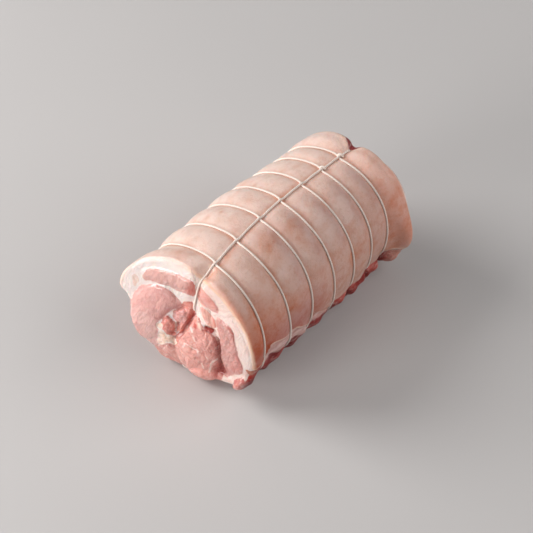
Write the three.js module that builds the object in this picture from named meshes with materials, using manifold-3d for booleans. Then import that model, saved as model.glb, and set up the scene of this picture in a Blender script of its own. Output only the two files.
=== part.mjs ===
// Boned and rolled pork shoulder, raw, tied with butcher's twine.
// Millimetres. While it is worked out, x runs along the roll from its cut near end to its far end,
// u runs across it (u = -y) and z runs up from the roll's axis. Angles turn from the top towards +u.
import * as THREE from 'three';
import Module from 'manifold-3d';
import { mergeVertices } from 'three/addons/utils/BufferGeometryUtils.js';

// Driving dimensions
const TABLE = -66; // what the roll rests on, below its axis
const PRESS = 6; // how far the roll would reach below the table if it kept its round
const NEAR_END = -105; // rind's rim at the near end
const FAR_END = 109.5; // rind's rim at the far end
const TWINE_RADIUS = 1;
const SEAT = 1.6; // twine's centre above the meat under it
const CREVICE_SEAT = 3.8; // the same, down in the crevice of an end
const GROOVE = 3.9; // how far the underside is lifted where twine passes below it
const LEFT_LEAN = 0.36; // how fast the near end swells out towards its lower left
const VIEW_LEAN = { u: 0.911, z: 1.731 }; // sideways shift of a lump's edge for each mm it stands out

// The seven loops: place along the roll, radius to the twine's centre,
// how far the top leans forward and how far the right side turns forward
const LOOPS = [
  { x: -87, radius: 68.3, lean: 1.8, turn: -2.2 },
  { x: -55, radius: 69, lean: -0.6, turn: -1.4 },
  { x: -27.5, radius: 68.5, lean: 2.9, turn: -0.6 },
  { x: 4, radius: 67.1, lean: -0.8, turn: -1.3 },
  { x: 31, radius: 64.9, lean: -0.5, turn: -0.3 },
  { x: 56.5, radius: 62.7, lean: -0.5, turn: 0.6 },
  { x: 77.5, radius: 61.5, lean: 0.6, turn: 2.6 },
];
const SWELL = [2.6, 2.6, 2.3, 2.5, 2.3, 2.3, 2.2, 4]; // bulge of each bay between the loops
const HANG = [0, 0, 0.5, 1, 3, 6, 6.5, 8.3]; // how far meat bulges out under the rind on the right
const TOP_LINE = { side: -1.5, middle: 20, bend: 0.00058, from: -84 }; // path of the twine along the top

// Where the side flares out at each rim or, below zero, draws in: the middle and half width
// of the place in degrees from the top, and how far
const NEAR_FLARES = [
  { middle: -74, half: 16, out: 4.2 },
  { middle: -35, half: 20, out: 1.5 },
  { middle: -97, half: 9, out: -3.5 },
  { middle: 1.5, half: 6.5, out: -6.5 },
  { middle: -118, half: 17, out: -2.8 },
  { middle: -148, half: 16, out: -4.5 },
];
const FAR_FLARES = [
  { middle: -30, half: 12, out: 1.2 },
  { middle: -66, half: 24, out: -1.4 },
  { middle: -11, half: 7, out: -1 },
  { middle: 42, half: 24, out: -2 },
];
const FAR_RIGHT_FLARE = 2.8; // the far rim's whole right side, down to its rind's edge
const FAR_LOW_FLARE = 8.5; // the low corner of the far rim's rind

// The rind's right edge: place along the roll, angle from the top in degrees
const RIND_RIGHT = [
  [-105, 103], [-88, 99], [-82, 86], [-58, 94], [-50, 93], [-30, 106], [-22, 100], [0, 110],
  [20, 114], [33, 118], [75, 121], [86, 118], [95, 115.5], [105, 116],
];

// The two ends. Lobes are the muscles that swell out, holes are the dark gaps between them.
const NEAR = {
  pole: { u: -2.8, z: 12 }, // where the twine sinks into the meat
  topBow: 2.6, // how far the twine bows to the left between the rim and the pole
  topHeight: 50, // how far above the pole the twine reaches the rim
  bow: 15, // the most that its crevice bows to the left below the pole
  creviceDepth: 6,
  rindCorner: 5,
  meatCorner: 8,
  rindLow: 105, // angle in degrees where the rim turns from rind to meat on the right
  lobes: [
    { u: 7, z: -23, height: 10, length: 41, width: 24, turn: 82 },
    { u: -41, z: -8, height: 5, length: 38, width: 20, turn: 72 },
    { u: -11, z: 1, height: 3, length: 14, width: 9, turn: 60 },
    { u: -27, z: -14, height: 1.5, length: 12, width: 5, turn: 60 },
    { u: -25, z: -33, height: 3, length: 11, width: 7, turn: 120 },
    { u: -20, z: -46, height: 2, length: 15, width: 8, turn: 160 },
    { u: 37, z: -4, height: 4, length: 40, width: 15, turn: 98 },
    { u: 12, z: 19, height: 2.5, length: 14, width: 8, turn: 110 },
    { u: 47, z: -44, height: 10, length: 18, width: 10, turn: 45 },
    { u: 13, z: -53, height: 9, length: 17, width: 12, turn: 20 },
    { u: -30, z: 40, height: 2, length: 24, width: 10, turn: 12 },
    { u: 13, z: 43, height: 1.5, length: 14, width: 10, turn: 130 },
  ],
  holes: [
    { depth: 5, width: 2.4, line: [[-13, 12], [-20, 7], [-26, -1], [-31, -10], [-37, -24]] },
    { depth: 4, width: 2.4, line: [[-27, -9], [-21, -14], [-18, -29]] },
    { depth: 6, width: 2.8, line: [[10, 1], [20, 5]] },
    { depth: 4, width: 2.4, line: [[23, -4], [25, -16], [24, -28], [31, -45]] },
  ],
};
const FAR = {
  pole: { u: 0, z: 4 },
  topBow: 0,
  bow: 0,
  creviceDepth: 5,
  rindCorner: 4.5,
  meatCorner: 11,
  rindLow: 117,
  lobes: [
    { u: -28, z: 34, height: 6, length: 34, width: 20, turn: 40 },
    { u: 36, z: 14, height: 6, length: 40, width: 22, turn: 100 },
    { u: -34, z: -22, height: 7, length: 30, width: 22, turn: 60 },
    { u: 16, z: -36, height: 8, length: 30, width: 22, turn: 10 },
    { u: 10, z: 6, height: 6, length: 16, width: 12, turn: 60 },
  ],
  holes: [{ depth: 3, width: 3, line: [[24, 30], [18, 22], [24, 4], [18, -10]] }],
};

// Fineness of the faceted surfaces
const AROUND = 54; // vertices round the roll
const BAY_STEPS = [0, 0.08, 0.35, 0.65, 0.92]; // rings in each bay between two loops
const CORNER_STEPS = [0, 30, 60, 90]; // rings round the corner of each end, in degrees
const NEAR_STEPS = [0.09, 0.2, 0.32, 0.44, 0.56, 0.68, 0.79, 0.9]; // rings of the near end
const FAR_STEPS = [0.12, 0.3, 0.5, 0.7, 0.87]; // rings of the far end
const TWINE_SIDES = 6;

// Colours
const MEAT_COLOUR = 0xe0b4a4;
const TWINE_COLOUR = 0xe8e0d2;

const rad = THREE.MathUtils.degToRad;
const { lerp, clamp, smoothstep } = THREE.MathUtils;
const BAYS = LOOPS.length + 1;

// Shape helpers

function bump(angle, centre, half) {
  const away = THREE.MathUtils.euclideanModulo(angle - centre + Math.PI, 2 * Math.PI) - Math.PI;
  return Math.exp(-((away / half) ** 2));
}

// The value at x of a line through [x, value] points
function interpolate(points, x) {
  const past = points.findIndex(([place]) => place > x);
  if (past <= 0) {
    return points.at(past)[1];
  }
  const [from, low] = points[past - 1];
  const [to, high] = points[past];
  return lerp(low, high, (x - from) / (to - from));
}

function softly(value, reach) {
  return (value + Math.hypot(value, reach)) / 2;
}

function lobeHeight(u, z, lobes) {
  let highest = 0;
  for (const lobe of lobes) {
    const cos = Math.cos(rad(lobe.turn));
    const sin = Math.sin(rad(lobe.turn));
    const along = ((u - lobe.u) * cos + (z - lobe.z) * sin) / lobe.length;
    const across = ((z - lobe.z) * cos - (u - lobe.u) * sin) / lobe.width;
    const dome = Math.max(0, 1 - along ** 2 - across ** 2) ** 0.6;
    highest = Math.max(highest, lobe.height * dome);
  }
  return highest;
}

function distanceToLine(u, z, line) {
  let nearest = Infinity;
  for (let i = 1; i < line.length; i += 1) {
    const [fromU, fromZ] = line[i - 1];
    const [toU, toZ] = line[i];
    const du = toU - fromU;
    const dz = toZ - fromZ;
    const t = clamp(((u - fromU) * du + (z - fromZ) * dz) / (du * du + dz * dz), 0, 1);
    nearest = Math.min(nearest, Math.hypot(u - fromU - t * du, z - fromZ - t * dz));
  }
  return nearest;
}

function holeDepth(u, z, holes) {
  const depths = holes.map((hole) => {
    const away = distanceToLine(u, z, hole.line) / hole.width;
    return hole.depth * Math.exp(-away * away);
  });
  return Math.max(...depths);
}

// How far the crevice below a pole bows to the left at a share of its way down
function creviceBow(end, down) {
  return end.bow * 6.75 * down ** 2 * (1 - down);
}

// Presses a height of an end down to the crevice that the lengthwise twine lies in, below the pole
function withCrevice(height, u, z, end) {
  const down = clamp((end.pole.z - z) / (end.pole.z - TABLE), 0, 1);
  const line = end.pole.u * (1 - down) - creviceBow(end, down);
  const away = Math.abs(u - line);
  const share = (1 - smoothstep(away, 2.8, 5.8)) * (1 - smoothstep(z, end.pole.z - 1, end.pole.z + 9));
  return lerp(height, -end.creviceDepth * (1 - 0.6 * down), share);
}

// Faces of the two ends

// Where the twine crosses the near face above the pole
function faceTwine(z) {
  const up = clamp((z - NEAR.pole.z) / NEAR.topHeight, 0, 1);
  return lerp(NEAR.pole.u, topLine(NEAR_END), up) - NEAR.topBow * 4 * up * (1 - up);
}

function nearFace(u, z) {
  const swell = LEFT_LEAN * softly(-0.906 * u - 0.423 * z, 15) - 1.5;
  const pulledIn = 4 * Math.exp(-(((u - faceTwine(z)) / 4.5) ** 2)) * smoothstep(z, 5, 40);
  const out = lobeHeight(u, z, NEAR.lobes) - pulledIn;
  const hole = holeDepth(u - VIEW_LEAN.u * out, z - VIEW_LEAN.z * out, NEAR.holes);
  return NEAR_END - swell - withCrevice(out - hole, u, z, NEAR);
}

function farFace(u, z) {
  const notch = 2.5 * Math.exp(-(((u + 1) / 6) ** 2)) * smoothstep(z, 0, 45);
  const out = lobeHeight(u, z, FAR.lobes);
  const height = out - notch - holeDepth(u, z, FAR.holes);
  return FAR_END - 8 + 0.08 * u + withCrevice(height, u, z, FAR);
}

// How far the side flares out towards each end

function flareSum(flares, angle) {
  return flares.reduce((sum, { middle, half, out }) => sum + out * bump(angle, rad(middle), rad(half)), 0);
}

function farFlare(angle, t) {
  const right = smoothstep(angle, rad(-1), rad(20)) * (1 - smoothstep(angle, rad(112), rad(150)));
  const all = FAR_RIGHT_FLARE * right + flareSum(FAR_FLARES, angle);
  const low = bump(angle, rad(112), rad(24)) * (1 - 0.8 * smoothstep(angle, rad(119), rad(127)));
  return all * smoothstep(t, 0, 0.8) + FAR_LOW_FLARE * low * smoothstep(t, 0.4, 1);
}

// The side

function rindEdges(x) {
  const left = -84 - 14 * smoothstep(x, -115, -75) + 2 * Math.sin(x / 12 + 1);
  return { right: rad(interpolate(RIND_RIGHT, x)), left: rad(left) };
}

function radiusUnderTwine(x) {
  return interpolate(LOOPS.map((loop) => [loop.x, loop.radius]), x) - SEAT;
}

// How far the lengthwise twine lies to one side along the top
function topLine(x) {
  return TOP_LINE.side + TOP_LINE.bend * (Math.max(x, TOP_LINE.from) - TOP_LINE.middle) ** 2;
}

// The section is a little three-cornered above and even below
function roundness(angle) {
  const above = smoothstep(Math.cos(angle), -0.9, -0.2);
  const uneven = 0.01 * Math.cos(2 * angle) - 0.016 * Math.sin(2 * angle)
    - 0.006 * Math.cos(3 * angle) + 0.038 * Math.sin(3 * angle);
  return 1 + lerp(0.01, uneven, above);
}

// How full a bay is at t, from 0 at its near twine or rim to 1 at its far one,
// its flare and how far its low meat hangs out
function fullness(bay, t, angle) {
  if (bay === 0) {
    const full = (1 - t ** 2.6) * (0.75 + 0.25 * smoothstep(t, 0, 0.5));
    return { full, flare: flareSum(NEAR_FLARES, angle) * (1 - smoothstep(t, 0, 0.9)), hang: 0 };
  }
  if (bay === BAYS - 1) {
    const full = (1 - (1 - t) ** 2.6) * (1 - 0.4 * smoothstep(t, 0.5, 1));
    const lump = lerp(0.8, 1, smoothstep(t, 0.3, 0.6)) * (1 - 0.4 * smoothstep(t, 0.7, 1));
    return { full, flare: farFlare(angle, t), hang: smoothstep(t, 0.06, 0.2) * lump };
  }
  const full = 1 - Math.abs(2 * t - 1) ** 2.4;
  return { full, flare: 0, hang: smoothstep(Math.min(t, 1 - t), 0.06, 0.2) };
}

// Lets the lower half hang down, so that the roll rests along its whole length
function sag(z, x) {
  const round = radiusUnderTwine(x) * roundness(Math.PI);
  const stretch = (PRESS - TABLE) / round - 1;
  return z < 0 ? z * (1 + stretch * (z / round) ** 2) : z;
}

// Rests a height on the table or, under twine, on the groove that it lies in
function settle(z, level) {
  const above = z - level;
  const soft = softly(above, 3) - 0.7 * (1 - smoothstep(above, 0, 14));
  return Math.max(level + soft, TABLE);
}

function sidePoint(bay, t, x, angle) {
  const { full, flare, hang } = fullness(bay, t, angle);
  const { right, left } = rindEdges(x);
  const underRight = smoothstep(angle - right, 0, rad(4));
  const underLeft = smoothstep(left - angle, 0, rad(4));
  const under = Math.max(underRight, underLeft);
  const alongTop = bump(angle, 0, rad(9));
  const twineTop = bump(angle, 0, rad(4));
  const twineBelow = bump(angle, Math.PI, rad(4));
  const ragged = 0.8 * Math.sin(0.21 * x + 5 * angle) + 0.6 * Math.sin(0.37 * x - 9 * angle + 1);
  const hangEnd = rad(bay === BAYS - 1 ? 126 : 138);
  const aboveBase = 1 - smoothstep(angle, hangEnd, hangEnd + rad(27));
  const hanging = smoothstep(angle - right, 0, rad(7)) * aboveBase;
  const pinched = 2 * bump(angle, rad(125), rad(22)) * (1 - full) * (1 - smoothstep(x, -40, -10));
  const swell = SWELL[bay] * (1 + 0.5 * bump(angle, rad(-65), rad(35)) * (1 - smoothstep(x, 0, 30)));
  let radius = radiusUnderTwine(x) * roundness(angle) + flare + HANG[bay] * hang * hanging - pinched;
  radius += swell * full * (1 - 0.6 * alongTop) * (1 - 0.4 * under);
  radius -= 0.8 * (twineTop + twineBelow);
  radius -= 2.2 * bump(angle, right + rad(3.5), rad(3)) + 2.8 * bump(angle, left - rad(4), rad(3));
  radius += under * ragged - 2 * bump(angle, 0, rad(3.5)) * smoothstep(x, 82, 94);
  const turned = angle + (topLine(x) / radius) * bump(angle, 0, rad(40));
  const lifted = Math.max(1 - full, twineBelow);
  const z = sag(radius * Math.cos(turned), x);
  return { u: radius * Math.sin(turned), z: settle(z, TABLE + GROOVE * lifted) };
}

function cornerSize(end, angle) {
  const meatRight = smoothstep(angle, rad(end.rindLow - 5), rad(end.rindLow + 5));
  const rind = smoothstep(angle, rad(-97), rad(-87)) * (1 - meatRight);
  const corner = lerp(end.meatCorner, end.rindCorner, rind);
  return end === NEAR ? corner : lerp(corner, 3, bump(angle, rad(-1), rad(7)));
}

// Where the side meets the corner of an end. The face decides x and x decides the side.
function nearRim(angle) {
  let rim = { x: NEAR_END };
  for (let pass = 0; pass < 4; pass += 1) {
    const at = sidePoint(0, 0, rim.x, angle);
    rim = { x: nearFace(at.u, at.z) + cornerSize(NEAR, angle), ...at };
  }
  return rim;
}

function farRim(angle) {
  let rim = { x: FAR_END };
  for (let pass = 0; pass < 4; pass += 1) {
    const at = sidePoint(BAYS - 1, 1, rim.x, angle);
    rim = { x: farFace(at.u, at.z) - cornerSize(FAR, angle), ...at };
  }
  return rim;
}

function loopX(loop, angle) {
  return loop.x + loop.lean * Math.cos(angle) + loop.turn * Math.sin(angle);
}

function stationX(station, angle) {
  if (station === 0) {
    return nearRim(angle).x;
  }
  if (station === BAYS) {
    return farRim(angle).x;
  }
  return loopX(LOOPS[station - 1], angle);
}

function onSide(bay, t, angle) {
  const x = lerp(stationX(bay, angle), stationX(bay + 1, angle), t);
  const { u, z } = sidePoint(bay, t, x, angle);
  return new THREE.Vector3(x, -u, z);
}

// A point of an end: q runs from the pole to the start of the corner, then phi turns round it
function onEnd(end, q, phi, angle) {
  const near = end === NEAR;
  const rim = near ? nearRim(angle) : farRim(angle);
  const corner = cornerSize(end, angle);
  const share = corner / Math.hypot(rim.u - end.pole.u, rim.z - end.pole.z);
  const reach = (1 - share) * q + share * Math.sin(phi);
  const above = end.topBow * 4 * reach * (1 - reach) * bump(angle, 0, rad(45));
  const below = creviceBow(end, reach) * bump(angle, Math.PI, rad(45));
  const u = lerp(end.pole.u, rim.u, reach) - above - below;
  const z = lerp(end.pole.z, rim.z, reach);
  const back = corner * (1 - Math.cos(phi));
  return new THREE.Vector3(near ? nearFace(u, z) + back : farFace(u, z) - back, -u, z);
}

function meatRings() {
  const angles = Array.from({ length: AROUND }, (_, i) => -Math.PI + (2 * Math.PI * i) / AROUND);
  const ring = (place) => angles.map(place);
  const rings = NEAR_STEPS.map((q) => ring((angle) => onEnd(NEAR, q, 0, angle)));
  for (const degrees of CORNER_STEPS) {
    rings.push(ring((angle) => onEnd(NEAR, 1, rad(degrees), angle)));
  }
  for (let bay = 0; bay < BAYS; bay += 1) {
    const steps = bay === 0 ? BAY_STEPS.slice(1) : BAY_STEPS;
    for (const t of steps) {
      rings.push(ring((angle) => onSide(bay, t, angle)));
    }
  }
  for (const degrees of CORNER_STEPS.toReversed()) {
    rings.push(ring((angle) => onEnd(FAR, 1, rad(degrees), angle)));
  }
  for (const q of FAR_STEPS.toReversed()) {
    rings.push(ring((angle) => onEnd(FAR, q, 0, angle)));
  }
  return rings;
}

// One closed skin over the rings, with a fan at each pole
function meatGeometry(rings) {
  const nearPole = onEnd(NEAR, 0, 0, 0);
  const farPole = onEnd(FAR, 0, 0, 0);
  const points = [...rings.flat(), nearPole, farPole];
  const near = points.length - 2;
  const far = points.length - 1;
  const last = rings.length - 1;
  const index = [];
  for (let j = 0; j < AROUND; j += 1) {
    const next = (j + 1) % AROUND;
    index.push(near, next, j);
    for (let i = 0; i < last; i += 1) {
      const a = i * AROUND + j;
      const b = i * AROUND + next;
      index.push(a, b + AROUND, a + AROUND, a, b, b + AROUND);
    }
    index.push(far, last * AROUND + j, last * AROUND + next);
  }
  return new THREE.BufferGeometry().setFromPoints(points).setIndex(index);
}

// Twine

// A closed run of twine through given points, which the tube takes as they are
class TwineRun extends THREE.Curve {
  constructor(points) {
    super();
    this.points = points;
  }

  getUtoTmapping(u) {
    return u;
  }

  getPoint(t, target = new THREE.Vector3()) {
    const place = THREE.MathUtils.euclideanModulo(t, 1) * this.points.length;
    const i = Math.floor(place) % this.points.length;
    const next = this.points[(i + 1) % this.points.length];
    return target.copy(this.points[i]).lerp(next, place - Math.floor(place));
  }
}

// The outline that a taut string takes round a ring of points, seen along the roll
function tautOutline(points) {
  const sorted = points.map((p) => [p.y, p.z]).sort((a, b) => a[0] - b[0] || a[1] - b[1]);
  const turnsLeft = (a, b, c) => (b[0] - a[0]) * (c[1] - a[1]) - (b[1] - a[1]) * (c[0] - a[0]) > 0;
  const half = (list) => {
    const hull = [];
    for (const point of list) {
      while (hull.length > 1 && !turnsLeft(hull.at(-2), hull.at(-1), point)) {
        hull.pop();
      }
      hull.push(point);
    }
    return hull.slice(0, -1);
  };
  return [...half(sorted), ...half(sorted.toReversed())];
}

// A loop lies on the corners of its taut outline, raised square to it
function loopPoints(loop, ring) {
  const outline = tautOutline(ring).map(([y, z]) => new THREE.Vector2(y, z));
  return outline.map((corner, i) => {
    const next = outline[(i + 1) % outline.length].clone().sub(corner).normalize();
    const last = corner.clone().sub(outline.at(i - 1)).normalize();
    const along = next.clone().add(last).normalize();
    const raise = SEAT / along.dot(next);
    const y = corner.x + raise * along.y;
    const z = corner.y - raise * along.x;
    return new THREE.Vector3(loopX(loop, Math.atan2(-y, z)), y, z);
  });
}

// The lengthwise run: along the top, over the far end, back underneath and up the near end.
// It lies on the vertices of the top and bottom lines of the skin, raised square to the surface.
function lengthwisePoints(rings) {
  const top = AROUND / 2;
  const track = [onEnd(NEAR, 0, 0, 0), ...rings.map((ring) => ring[top])];
  track.push(onEnd(FAR, 0, 0, 0), ...rings.toReversed().map((ring) => ring[0]));
  const farPole = rings.length + 1;
  const inCrevice = (i) => i === 0 || i >= track.length - NEAR_STEPS.length
    || (i >= farPole && i <= farPole + FAR_STEPS.length);
  return track.map((point, i) => {
    const before = track.at(i - 1);
    const after = track[(i + 1) % track.length];
    const along = after.clone().sub(before).normalize();
    const square = new THREE.Vector3(-along.z, 0, along.x).normalize();
    return point.clone().addScaledVector(square, inCrevice(i) ? CREVICE_SEAT : SEAT);
  });
}

function twineTube(points) {
  const run = new TwineRun(points);
  return new THREE.TubeGeometry(run, points.length, TWINE_RADIUS, TWINE_SIDES, true);
}

// Joining

const wasm = await Module();
wasm.setup();

function toSolid(geometry) {
  geometry.deleteAttribute('normal');
  geometry.deleteAttribute('uv');
  const merged = mergeVertices(geometry, 1e-4);
  const vertProperties = new Float32Array(merged.attributes.position.array);
  const triVerts = new Uint32Array(merged.index.array);
  return new wasm.Manifold(new wasm.Mesh({ numProp: 3, vertProperties, triVerts }));
}

function toGeometry(solid) {
  const mesh = solid.getMesh();
  const geometry = new THREE.BufferGeometry();
  geometry.setAttribute('position', new THREE.BufferAttribute(mesh.vertProperties, 3));
  geometry.setIndex(new THREE.BufferAttribute(mesh.triVerts, 1));
  geometry.computeVertexNormals();
  return geometry;
}

function twineGeometry(rings) {
  const loopRing = (i) => rings[NEAR_STEPS.length + CORNER_STEPS.length - 1 + (i + 1) * BAY_STEPS.length];
  const loops = LOOPS.map((loop, i) => twineTube(loopPoints(loop, loopRing(i))));
  let twine = toSolid(twineTube(lengthwisePoints(rings)));
  for (const loop of loops) {
    twine = twine.add(toSolid(loop));
  }
  return toGeometry(twine);
}

function named(name, geometry, color, roughness) {
  const mesh = new THREE.Mesh(geometry, new THREE.MeshStandardMaterial({ color, roughness, metalness: 0 }));
  mesh.name = name;
  return mesh;
}

const rings = meatRings();
const roast = new THREE.Group();
roast.add(named('rolled_pork', meatGeometry(rings), MEAT_COLOUR, 0.45));
roast.add(named('twine', twineGeometry(rings), TWINE_COLOUR, 0.9));

// The origin is the middle of the base
const box = new THREE.Box3().setFromObject(roast);
const middle = box.getCenter(new THREE.Vector3());
roast.position.set(-middle.x, -middle.y, -box.min.z);

export default roast;
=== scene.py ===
"""Looks of a raw, boned and rolled pork shoulder, tied with butcher's twine.

Shapes are worked out in millimetres: x runs along the roll from its cut near end to its far end,
u runs across it (u = -y) and z runs up from the roll's axis. Angles turn from the top towards +u.
"""
import math
from types import SimpleNamespace

import bpy
import numpy as np
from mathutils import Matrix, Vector, noise


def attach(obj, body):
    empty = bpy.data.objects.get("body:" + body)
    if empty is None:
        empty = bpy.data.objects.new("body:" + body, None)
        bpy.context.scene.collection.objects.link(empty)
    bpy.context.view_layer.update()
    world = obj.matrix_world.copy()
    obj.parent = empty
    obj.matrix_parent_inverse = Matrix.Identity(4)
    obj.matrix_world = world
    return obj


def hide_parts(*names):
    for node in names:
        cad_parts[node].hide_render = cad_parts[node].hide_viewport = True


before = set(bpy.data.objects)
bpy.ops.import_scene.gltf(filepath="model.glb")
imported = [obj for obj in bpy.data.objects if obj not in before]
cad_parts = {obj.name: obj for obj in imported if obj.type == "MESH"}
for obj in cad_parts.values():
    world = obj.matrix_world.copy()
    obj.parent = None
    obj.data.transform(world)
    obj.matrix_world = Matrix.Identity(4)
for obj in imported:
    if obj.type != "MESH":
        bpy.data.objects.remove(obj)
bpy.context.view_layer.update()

MM = 0.001
AXIS = np.array([8.825, -2.706, 66])  # the roll's axis at x = 0, in the row frame
TURN = 2 * np.pi
rad = np.radians
FAR_OFF = 9  # a distance at which a crease or seam no longer shows

# The roll, as its solid has it
TABLE = -66  # what the roll rests on, below its axis
PRESS = 6  # how far the roll would reach below the table if it kept its round
NEAR_END = -105
FAR_END = 109.5
SEAT = 1.6  # twine's centre above the meat under it
GROOVE = 3.9  # how far the underside is lifted where twine passes below it
LEFT_LEAN = 0.36  # how fast the near end swells out towards its lower left
LEAN_WAY = (-0.906, -0.423)  # direction of that lower left
SKIN_RADIUS = 66  # usual radius, which turns angles into lengths on the skin
VIEW_LEAN = (0.911, 1.731)  # sideways shift of a lump's edge, seen by the camera, for each mm it stands out
LOOPS = [  # place along the roll, radius to the twine's centre, lean of the top, turn of the right side
    (-87, 68.3, 1.8, -2.2),
    (-55, 69, -0.6, -1.4),
    (-27.5, 68.5, 2.9, -0.6),
    (4, 67.1, -0.8, -1.3),
    (31, 64.9, -0.5, -0.3),
    (56.5, 62.7, -0.5, 0.6),
    (77.5, 61.5, 0.6, 2.6),
]
BAYS = len(LOOPS) + 1
SWELL = [2.6, 2.6, 2.3, 2.5, 2.3, 2.3, 2.2, 4]  # bulge of each bay between the loops
HANG = [0, 0, 0.5, 1, 3, 6, 6.5, 8.3]  # how far meat bulges out under the rind on the right
TOP_LINE = (-1.5, 20, 0.00058, -84)  # path of the twine along the top: side, middle, bend, start
NEAR_FLARES = [  # middle and half width in degrees from the top, and how far the rim flares out there
    (-74, 16, 4.2), (-35, 20, 1.5), (-50, 13, 2), (-97, 9, -3.5), (1.5, 6.5, -6.5), (-118, 17, -2.8),
    (-148, 16, -4.5), (131, 9, 3.5),
]
FAR_FLARES = [(-30, 12, 1.2), (-66, 24, -1.4), (-11, 7, -1), (42, 24, -2)]
FAR_RIGHT_FLARE = 2.8  # the far rim's whole right side, down to its rind's edge
FAR_LOW_FLARE = 8.5  # the low corner of the far rim's rind
RIND_RIGHT = [  # place along the roll, angle of the rind's right edge from the top in degrees
    (-105, 103), (-88, 99), (-82, 86), (-58, 94), (-50, 93), (-30, 106), (-22, 100), (0, 110),
    (20, 114), (33, 118), (75, 121), (86, 118), (95, 115.5), (105, 116),
]

# The two ends: the crevice is where the twine lies, the gap is what stays open above it. Lobes have a
# middle, a height, a half length and width and a turn in degrees; holes a depth, a half width and a line.
NEAR = SimpleNamespace(
    pole=(-2.8, 12), bow=15, top_bow=2.6, top_height=50, crevice=8.5,
    gap=2.2, rind_corner=3.6, rind_low=105, meat_corner=8,
    lobes=[
        (7, -23, 10, 41, 24, 82), (-41, -8, 5, 38, 20, 72), (-11, 1, 3, 14, 9, 60),
        (-27, -17, 5, 14, 8, 70), (-25, -33, 3, 11, 7, 120), (-20, -46, 2, 15, 8, 160),
        (37, -4, 3, 44, 25, 98), (12, 19, 2.5, 14, 8, 110), (54, -40, 9, 14, 9, 50),
        (35, -50, 5, 15, 8, 15), (13, -53, 9, 17, 12, 20), (-30, 40, 2, 24, 10, 12),
        (13, 43, 1.5, 14, 10, 130),
    ],
    holes=[
        (2.2, 3.2, [(-13, 12), (-20, 7), (-26, -1), (-31, -10)]),
        (2, 1.5, [(-27, -8), (-24, -11.5), (-21, -13.5)]),
        (2.5, 1.4, [(-17.4, -12), (-18.2, -20), (-17, -23)]),
        (2.2, 1.5, [(-24, -26.5), (-20, -24.5), (-16, -22.5)]),
        (3, 1.4, [(-19.5, -30), (-17.8, -29.5)]),
        (4, 1.8, [(11, 1), (14, 2.5), (19, 4)]),
        (6, 1.7, [(23, -4), (25, -16), (24, -28), (31, -45)]),
    ],
)
FAR = SimpleNamespace(
    pole=(0, 4), bow=0, top_bow=0, crevice=6,
    gap=6, rind_corner=4.5, rind_low=117, meat_corner=11,
    lobes=[
        (-28, 34, 6, 34, 20, 40), (36, 14, 6, 40, 22, 100), (-34, -22, 7, 30, 22, 60),
        (16, -36, 8, 30, 22, 10), (10, 6, 6, 16, 12, 60),
    ],
    holes=[(4, 2, [(24, 30), (18, 22), (24, 4), (18, -10)])],
)

# Fineness of the mesh
AROUND = 360
ANGLE = -np.pi + TURN * np.arange(AROUND) / AROUND  # of each vertex round the roll
DEGREES = np.degrees(ANGLE)
NEAR_RINGS = 92
FAR_RINGS = 24
CORNER_RINGS = 8
BAY_RINGS = 16


# Objects and camera

def add_object(name, data):
    made = bpy.data.objects.new(name, data)
    bpy.context.scene.collection.objects.link(made)
    return made


def put_facing(made, place, back):
    """Puts a camera or light at a place, with its back turned that way."""
    made.location = place
    made.rotation_mode = "QUATERNION"
    made.rotation_quaternion = back.to_track_quat("Z", "Y")


def make_camera():
    elevation = math.radians(52)
    turn = math.radians(-47.672)
    distance = 1680.9
    target = Vector((-20.219, -3.464, 0)) + Vector(AXIS)
    across = math.cos(elevation)
    back = Vector((math.sin(turn) * across, -math.cos(turn) * across, math.sin(elevation)))
    data = bpy.data.cameras.new("camera")
    data.sensor_width = 36
    data.lens = 129.03
    data.clip_start = 0.05
    data.clip_end = 20
    camera = add_object("camera", data)
    put_facing(camera, (target + back * distance) * MM, back)
    bpy.context.scene.camera = camera


make_camera()


# Shape helpers

def rise(value, low, high):
    """From 0 at low to 1 at high, with soft ends."""
    t = np.clip((value - low) / (high - low), 0, 1)
    return t * t * (3 - 2 * t)


def fade(value, low, high):
    return 1 - rise(value, low, high)


def mix(a, b, share):
    return a + (b - a) * share


def bell(away, half):
    return np.exp(-((away / half) ** 2))


def bump(angle, centre, half):
    return bell((angle - centre + np.pi) % TURN - np.pi, half)


def softly(value, reach):
    """A value that eases to zero instead of going below it."""
    return (value + np.hypot(value, reach)) / 2


def rough(points, size, seed=0):
    """Smooth noise from about -1 to 1 with lumps of a size, at an array of points."""
    flat = np.reshape(points, (-1, np.shape(points)[-1])) / size + seed
    if flat.shape[1] == 2:
        flat = np.c_[flat, np.full(len(flat), seed)]
    values = [noise.noise(p) for p in flat.tolist()]
    return 1.6 * np.reshape(values, np.shape(points)[:-1])


def cells(along, across, seed):
    """Scattered cells of unit size: how domed each one is, and the distance to its edge."""
    place = np.stack([along, across], -1) + seed
    home = np.floor(place)
    first = second = FAR_OFF + 0 * along
    for step in np.ndindex(3, 3):
        corner = home + np.array(step) - 1
        mixed = np.stack([corner @ (127.1, 311.7), corner @ (269.5, 183.3)], -1)
        centre = corner + np.modf(np.abs(np.sin(mixed)) * 4375.85)[0]
        away = np.linalg.norm(centre - place, axis=-1)
        second = np.minimum(second, np.maximum(first, away))
        first = np.minimum(first, away)
    return 1 - first**2, (second - first) / 2


def turn_axes(u, z, turn):
    """Places along and across a direction that is turned by an angle."""
    return u * np.cos(turn) + z * np.sin(turn), z * np.cos(turn) - u * np.sin(turn)


def lobe_axes(u, z, lobe):
    """A point's place along and across a lobe, in shares of its half length and half width."""
    lobe_u, lobe_z, _, length, width, turn = lobe
    along, across = turn_axes(u - lobe_u, z - lobe_z, rad(turn))
    return along / length, across / width


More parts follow.
